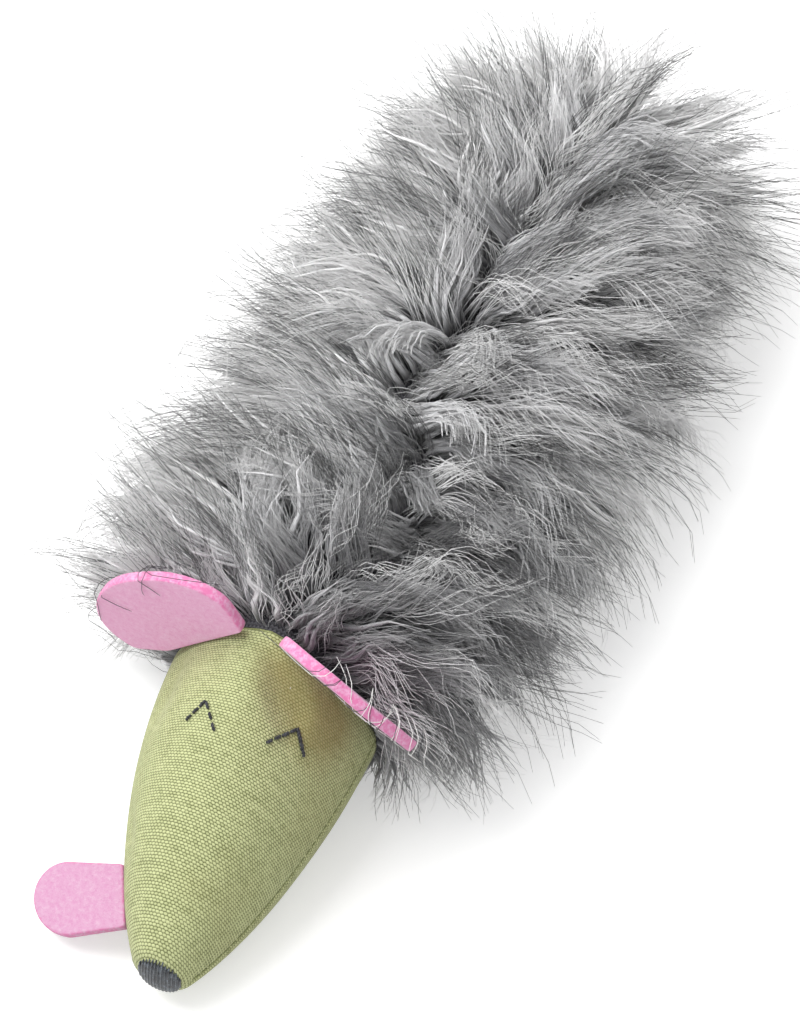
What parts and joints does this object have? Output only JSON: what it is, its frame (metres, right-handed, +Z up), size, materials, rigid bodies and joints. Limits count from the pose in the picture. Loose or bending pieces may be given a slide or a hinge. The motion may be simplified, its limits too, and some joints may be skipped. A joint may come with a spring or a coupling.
{
  "type": "kicker cat toy",
  "caption": "Soft kicker cat toy: a long stuffed sleeve of shaggy faux fur with a canvas animal head, felt ears and a felt tongue.",
  "frame": {"origin": "middle of the toy's footprint, on the surface that it lies on", "axes": "+Y towards the closed tail end, the nose towards -Y, +Z up"},
  "size_m": [0.1226, 0.2852, 0.0761],
  "materials": {
    "canvas": "coarse plain weave, matt",
    "felt": "pressed wool felt, matt",
    "dark_thread": "embroidery thread, slight sheen",
    "green_thread": "sewing thread",
    "grey_thread": "sewing thread",
    "fur": "long faux fur, soft sheen",
    "knit_backing": "knitted backing, matt",
    "stuffing": "polyester fibre fill",
    "cotton": "plain cotton",
    "film": "thin crackling film"
  },
  "bodies": {
    "middle_body": {"middle_backing": "knit_backing", "middle_fur": "fur", "middle_stuffing": "stuffing", "catnip_pouch": "cotton", "crinkle_film": "film", "waist_fold_backing": "knit_backing", "waist_fold_fur": "fur", "rump_fold_backing": "knit_backing", "rump_fold_fur": "fur"},
    "front_body": {"front_backing": "knit_backing", "front_fur": "fur", "front_stuffing": "stuffing", "collar_backing": "knit_backing", "collar_fur": "fur"},
    "rear_body": {"rear_backing": "knit_backing", "rear_fur": "fur", "rear_stuffing": "stuffing", "tail_closing_thread": "grey_thread"},
    "neck": {"neck_stuffing": "stuffing"},
    "head": {"head_top_panel": "canvas", "head_under_panel": "canvas", "head_stuffing": "stuffing", "nose_embroidery": "dark_thread", "left_eye_stitches": "dark_thread", "right_eye_stitches": "dark_thread", "left_side_seam_thread": "green_thread", "right_side_seam_thread": "green_thread", "neck_seam_thread": "green_thread"},
    "left_ear_flap": {"left_ear": "felt"},
    "right_ear_flap": {"right_ear": "felt"},
    "tongue_flap": {"tongue": "felt"}
  },
  "joints": [
    {"name": "waist_bend", "type": "hinge", "parent": "middle_body", "child": "front_body", "pos_m": [0.00103, 0.00759, 0.0325], "axis": [0, 0, 1], "range_deg": [-20, 20], "stiffness_Nm_per_rad": 0.08, "deforming": ["waist_fold_backing", "waist_fold_fur"]},
    {"name": "rump_bend", "type": "hinge", "parent": "middle_body", "child": "rear_body", "pos_m": [-0.00003, 0.07559, 0.0325], "axis": [1, 0, 0], "range_deg": [-20, 25], "stiffness_Nm_per_rad": 0.08, "deforming": ["rump_fold_backing", "rump_fold_fur"]},
    {"name": "neck_turn", "type": "hinge", "parent": "front_body", "child": "neck", "pos_m": [-0.00186, -0.06741, 0.031], "axis": [0, 0, 1], "range_deg": [-20, 20], "stiffness_Nm_per_rad": 0.05, "deforming": ["collar_backing", "collar_fur"]},
    {"name": "neck_nod", "type": "hinge", "parent": "neck", "child": "head", "pos_m": [-0.00186, -0.06741, 0.031], "axis": [1, 0, 0], "range_deg": [-25, 25], "stiffness_Nm_per_rad": 0.05, "deforming": ["collar_backing", "collar_fur"]},
    {"name": "left_ear_fold", "type": "hinge", "parent": "head", "child": "left_ear_flap", "pos_m": [-0.00907, -0.06921, 0.06157], "axis": [-0.6878, 0, -0.7259], "range_deg": [-55, 35], "stiffness_Nm_per_rad": 0.003},
    {"name": "right_ear_fold", "type": "hinge", "parent": "head", "child": "right_ear_flap", "pos_m": [0.0026, -0.06921, 0.06127], "axis": [-0.8085, 0, 0.5884], "range_deg": [-30, 60], "stiffness_Nm_per_rad": 0.003},
    {"name": "tongue_fold", "type": "hinge", "parent": "head", "child": "tongue_flap", "pos_m": [-0.02004, -0.11918, 0.01514], "axis": [-0.4639, 0.8581, 0.2203], "range_deg": [-30, 60], "stiffness_Nm_per_rad": 0.002}
  ]
}
